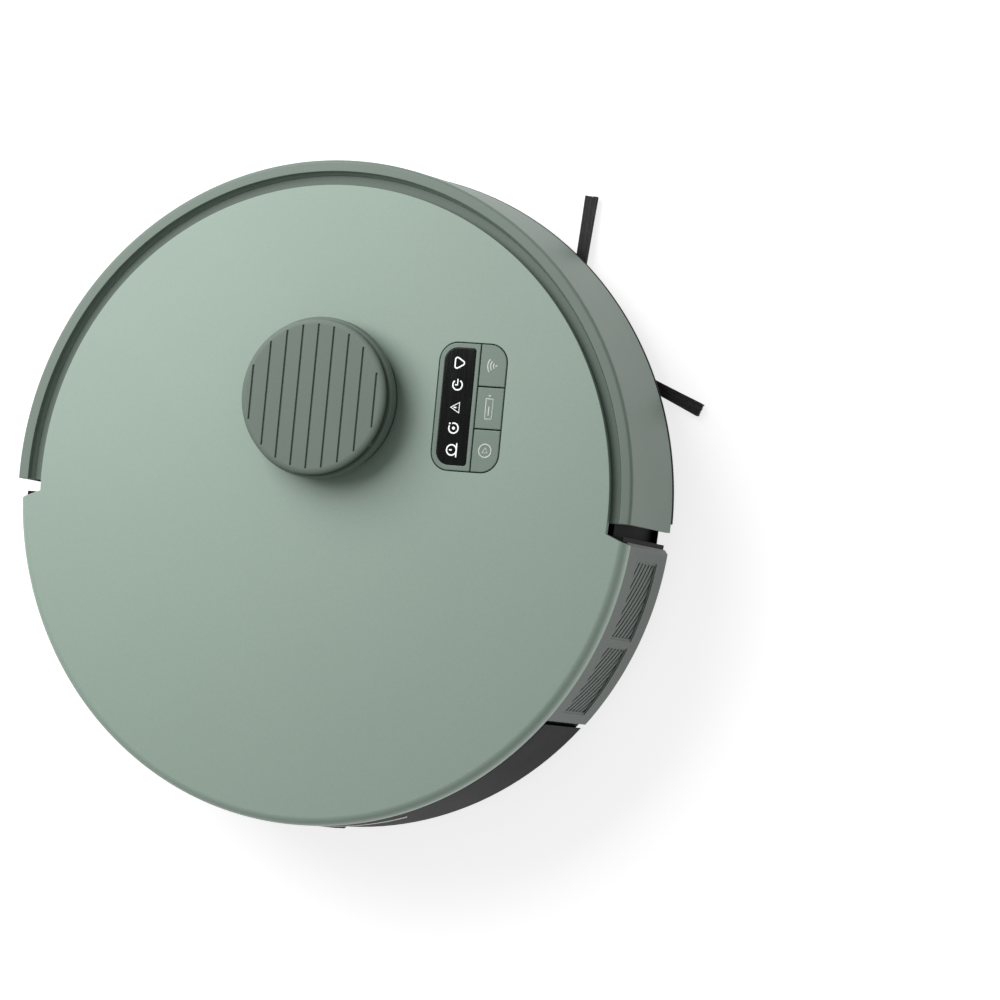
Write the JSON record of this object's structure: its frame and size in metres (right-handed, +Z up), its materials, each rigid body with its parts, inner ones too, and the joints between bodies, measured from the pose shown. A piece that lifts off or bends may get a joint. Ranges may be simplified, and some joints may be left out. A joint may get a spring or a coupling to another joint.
{
  "type": "robot vacuum",
  "caption": "Round robot vacuum with a grooved laser turret, touch panel, half-ring bumper, slatted side panels, pull-out rear dustbin, sprung drive wheels and a side brush.",
  "frame": {"origin": "on the floor that the wheels stand on, below the centre of the round body", "axes": "+Z up, +Y the way it drives (bumper side), +X to the robot's right (control panel side)"},
  "size_m": [0.357, 0.3494, 0.0965],
  "materials": {
    "sage_shell": "fine matt moulded plastic, sage green",
    "bumper_shell": "matt moulded plastic, darker grey green",
    "panel_shell": "matt moulded plastic, dark grey green",
    "turret_shell": "matt moulded plastic, grey green",
    "key_shell": "satin moulded plastic, grey green",
    "black_shell": "textured black moulded plastic",
    "black_gloss": "polished black acrylic",
    "clear_smoke": "smoked polycarbonate",
    "grey_plastic": "grey moulded plastic",
    "soft_rubber": "moulded rubber",
    "bristle": "nylon bristle",
    "spring_steel": "drawn steel wire and pins",
    "motor_can": "zinc plated steel can",
    "cell_wrap": "battery cells in shrink film",
    "contact_plate": "nickel plated contact",
    "board": "glass fibre circuit board",
    "filter_paper": "pleated filter paper"
  },
  "bodies": {
    "base": {"battery_door": "black_shell", "battery_pack": "cell_wrap", "blower_housing": "black_shell", "blower_motor": "motor_can", "brush_gear_motor": "grey_plastic", "brush_guard": "black_shell", "brush_housing": "black_shell", "bumper_switches": "black_shell", "case_screws": "spring_steel", "charge_contacts": "contact_plate", "chassis_base": "black_shell", "cliff_windows": "clear_smoke", "display_lens": "black_gloss", "drive_pivot_pins": "spring_steel", "drive_springs": "spring_steel", "exhaust_panel_left": "panel_shell", "exhaust_panel_right": "panel_shell", "laser_belt": "soft_rubber", "laser_motor": "motor_can", "laser_plate": "grey_plastic", "main_board": "board", "panel_bezel": "key_shell", "panel_board": "board", "panel_tray": "grey_plastic", "side_brush_gearbox": "grey_plastic", "top_cover": "sage_shell", "turret_cap": "turret_shell", "turret_ring": "turret_shell"},
    "bumper": {"front_bumper": "bumper_shell", "bumper_lip": "black_shell", "bumper_springs": "spring_steel"},
    "laser_head": {"laser_rotor": "black_gloss"},
    "laser_motor_rotor": {"laser_motor_pulley": "grey_plastic"},
    "key_front": {"button_front": "key_shell"},
    "key_middle": {"button_middle": "key_shell"},
    "key_rear": {"button_rear": "key_shell"},
    "drive_arm_r": {"drive_arm_right": "grey_plastic", "drive_motor_right": "motor_can"},
    "drive_arm_l": {"drive_arm_left": "grey_plastic", "drive_motor_left": "motor_can"},
    "wheel_r": {"wheel_hub_right": "grey_plastic", "tyre_right": "soft_rubber"},
    "wheel_l": {"wheel_hub_left": "grey_plastic", "tyre_left": "soft_rubber"},
    "caster_swivel_body": {"caster_fork": "black_shell", "caster_axle": "spring_steel"},
    "caster_wheel_body": {"caster_wheel": "soft_rubber"},
    "main_brush": {"main_brush_roller": "grey_plastic", "main_brush_strips": "bristle"},
    "side_brush": {"side_brush_hub": "grey_plastic", "side_brush_screw": "spring_steel", "side_brush_bristles": "bristle"},
    "fan": {"impeller": "clear_smoke"},
    "dustbin": {"dustbin_body": "black_shell", "dustbin_grip": "contact_plate", "dustbin_lid": "black_shell", "filter_frame": "grey_plastic", "filter_pleats": "filter_paper"},
    "latch": {"dustbin_latch": "black_shell"},
    "flap": {"dustbin_flap": "soft_rubber"}
  },
  "joints": [
    {"name": "bumper_press", "type": "slide", "parent": "base", "child": "bumper", "axis": [0, -1, 0], "range_m": [0, 0.005], "stiffness_N_per_m": 300, "springref_m": -0.006, "deforming": ["bumper_springs"]},
    {"name": "laser_spin", "type": "hinge", "parent": "base", "child": "laser_head", "pos_m": [0, 0.0484, 0.08], "axis": [0, 0, 1], "continuous": true},
    {"name": "laser_motor_spin", "type": "hinge", "parent": "base", "child": "laser_motor_rotor", "pos_m": [-0.062, 0.0484, 0.054], "axis": [0, 0, 1], "continuous": true},
    {"name": "button_front_press", "type": "slide", "parent": "base", "child": "key_front", "axis": [0, 0, -1], "range_m": [0, 0.0006], "stiffness_N_per_m": 600, "springref_m": -0.0006},
    {"name": "button_middle_press", "type": "slide", "parent": "base", "child": "key_middle", "axis": [0, 0, -1], "range_m": [0, 0.0006], "stiffness_N_per_m": 600, "springref_m": -0.0006},
    {"name": "button_rear_press", "type": "slide", "parent": "base", "child": "key_rear", "axis": [0, 0, -1], "range_m": [0, 0.0006], "stiffness_N_per_m": 600, "springref_m": -0.0006},
    {"name": "drive_arm_right_swing", "type": "hinge", "parent": "base", "child": "drive_arm_r", "pos_m": [0.095, 0.044, 0.038], "axis": [1, 0, 0], "range_deg": [0, 20], "stiffness_Nm_per_rad": 0.3, "springref_deg": 45.84},
    {"name": "drive_arm_left_swing", "type": "hinge", "parent": "base", "child": "drive_arm_l", "pos_m": [-0.095, 0.044, 0.038], "axis": [1, 0, 0], "range_deg": [0, 20], "stiffness_Nm_per_rad": 0.3, "springref_deg": 45.84},
    {"name": "wheel_right_spin", "type": "hinge", "parent": "drive_arm_r", "child": "wheel_r", "pos_m": [0.115, 0, 0.035], "axis": [1, 0, 0], "continuous": true},
    {"name": "wheel_left_spin", "type": "hinge", "parent": "drive_arm_l", "child": "wheel_l", "pos_m": [-0.115, 0, 0.035], "axis": [1, 0, 0], "continuous": true},
    {"name": "caster_swivel", "type": "hinge", "parent": "base", "child": "caster_swivel_body", "pos_m": [0, 0.13, 0.04], "axis": [0, 0, 1], "continuous": true},
    {"name": "caster_roll", "type": "hinge", "parent": "caster_swivel_body", "child": "caster_wheel_body", "pos_m": [0, 0.124, 0.013], "axis": [1, 0, 0], "continuous": true},
    {"name": "main_brush_spin", "type": "hinge", "parent": "base", "child": "main_brush", "pos_m": [0, -0.062, 0.0215], "axis": [1, 0, 0], "continuous": true},
    {"name": "side_brush_spin", "type": "hinge", "parent": "base", "child": "side_brush", "pos_m": [0.1038, 0.0934, 0.02], "axis": [0, 0, 1], "continuous": true, "deforming": ["side_brush_bristles"]},
    {"name": "impeller_spin", "type": "hinge", "parent": "base", "child": "fan", "pos_m": [0.122, -0.074, 0.03], "axis": [0, 0, 1], "continuous": true},
    {"name": "dustbin_pull", "type": "slide", "parent": "base", "child": "dustbin", "axis": [0, -1, 0], "range_m": [0, 0.17]},
    {"name": "dustbin_latch_press", "type": "slide", "parent": "dustbin", "child": "latch", "axis": [0, 1, 0], "range_m": [0, 0.002], "stiffness_N_per_m": 400, "springref_m": -0.002},
    {"name": "dust_flap_swing", "type": "hinge", "parent": "dustbin", "child": "flap", "pos_m": [0, -0.0958, 0.046], "axis": [-1, 0, 0], "range_deg": [0, 50], "stiffness_Nm_per_rad": 0.0005, "springref_deg": -28.65}
  ],
  "couplings": [
    {"joint": "laser_motor_spin", "follows": "laser_spin", "ratio": 4}
  ]
}
